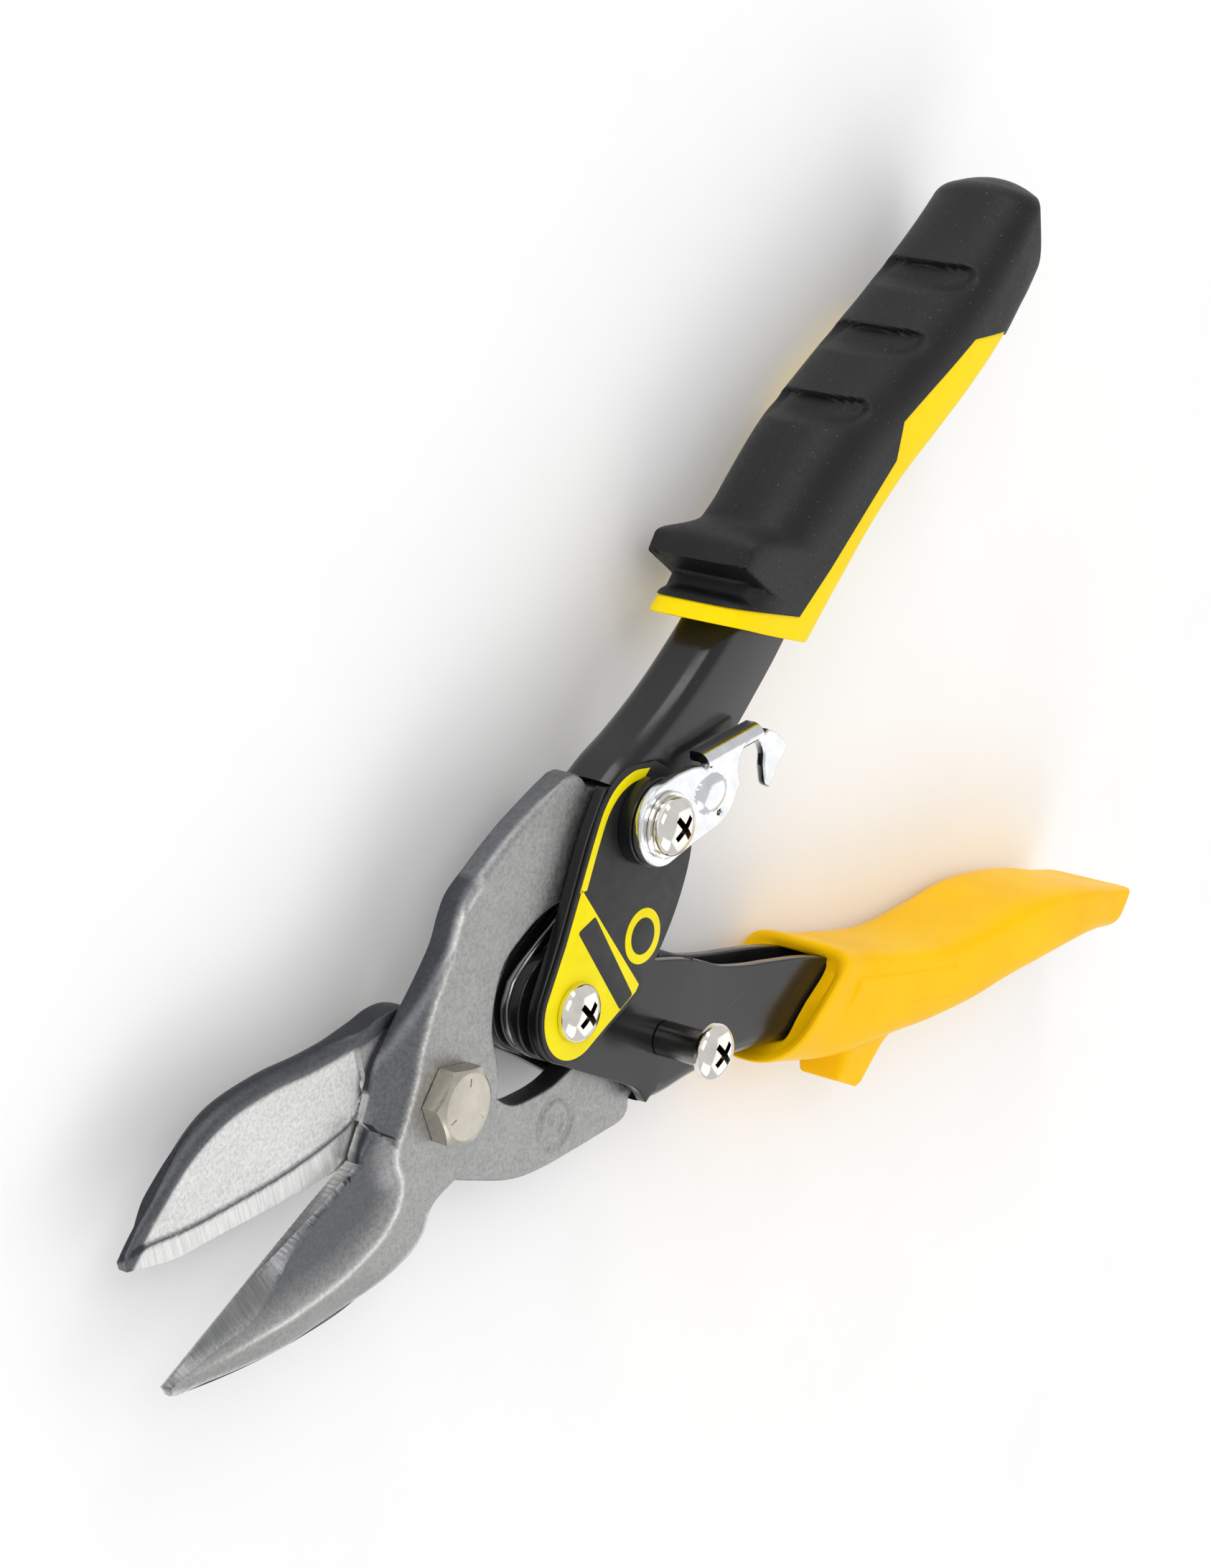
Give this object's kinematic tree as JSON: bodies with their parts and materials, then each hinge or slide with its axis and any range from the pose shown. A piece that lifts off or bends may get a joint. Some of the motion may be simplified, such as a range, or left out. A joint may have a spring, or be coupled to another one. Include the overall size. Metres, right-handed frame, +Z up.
{
  "type": "aviation snips",
  "caption": "Compound-action aviation snips with forged curved blades, stamped black handles, moulded grips and a hook latch.",
  "frame": {"origin": "centre of the main pivot bolt's end face, on the surface that the tool lies on", "axes": "+X along the open linkage's symmetry line towards the handles, blades towards -X; +Y towards the handle that carries the latch; +Z up out of the face with the latch"},
  "size_m": [0.2378, 0.1466, 0.0291],
  "materials": {
    "forged_steel": "satin blasted forging with ground bevels",
    "black_steel": "semi-gloss black coating",
    "label": "fine textured black and yellow film, blank",
    "chrome": "polished, pebbled face",
    "nickel": "warm polished plating",
    "dark_steel": "dark polished oxide",
    "black_rubber": "matte with fine speckle",
    "yellow_plastic": "satin moulded",
    "golden_plastic": "satin moulded, fine grain"
  },
  "bodies": {
    "upper_handle": {"upper_channel": "black_steel", "label_plate": "label", "link_screw": "nickel", "link_nut": "nickel", "link_spacer": "nickel", "latch_spacer": "dark_steel", "latch_washer": "nickel", "handle_screw": "nickel", "handle_nut": "nickel", "pivot_spacer_front": "dark_steel", "pivot_spacer_rear": "dark_steel", "return_spring": "dark_steel", "upper_grip_core": "yellow_plastic", "upper_grip_sleeve": "black_rubber"},
    "lower_handle": {"lower_channel": "black_steel", "lower_grip": "golden_plastic", "post_screw": "nickel", "post_sleeve": "dark_steel", "post_nut": "nickel", "post_spacer": "nickel"},
    "front_jaw": {"front_jaw": "forged_steel", "pivot_bolt": "nickel", "pivot_washer": "nickel", "pivot_nut": "nickel"},
    "rear_jaw": {"rear_jaw": "forged_steel"},
    "latch": {"latch": "chrome"}
  },
  "joints": [
    {"name": "lower_handle", "type": "hinge", "parent": "upper_handle", "child": "lower_handle", "pos_m": [0.02672, 0, 0.0138], "axis": [0, 0, 1], "range_deg": [0, 41], "stiffness_Nm_per_rad": 0.6, "springref_deg": -28.65, "deforming": ["return_spring"]},
    {"name": "front_jaw", "type": "hinge", "parent": "upper_handle", "child": "front_jaw", "pos_m": [0.04994, 0.02054, 0.0138], "axis": [0, 0, 1], "range_deg": [0, 10.02]},
    {"name": "rear_jaw", "type": "hinge", "parent": "front_jaw", "child": "rear_jaw", "pos_m": [0, 0, 0.0138], "axis": [0, 0, 1], "range_deg": [0, 20.98]},
    {"name": "latch", "type": "hinge", "parent": "upper_handle", "child": "latch", "pos_m": [0.04994, 0.02054, 0.0138], "axis": [0, 0, -1], "range_deg": [0, 65.6]}
  ],
  "couplings": [
    {"joint": "front_jaw", "follows": "lower_handle", "ratio": 0.24425},
    {"joint": "rear_jaw", "follows": "lower_handle", "ratio": 0.5115}
  ]
}
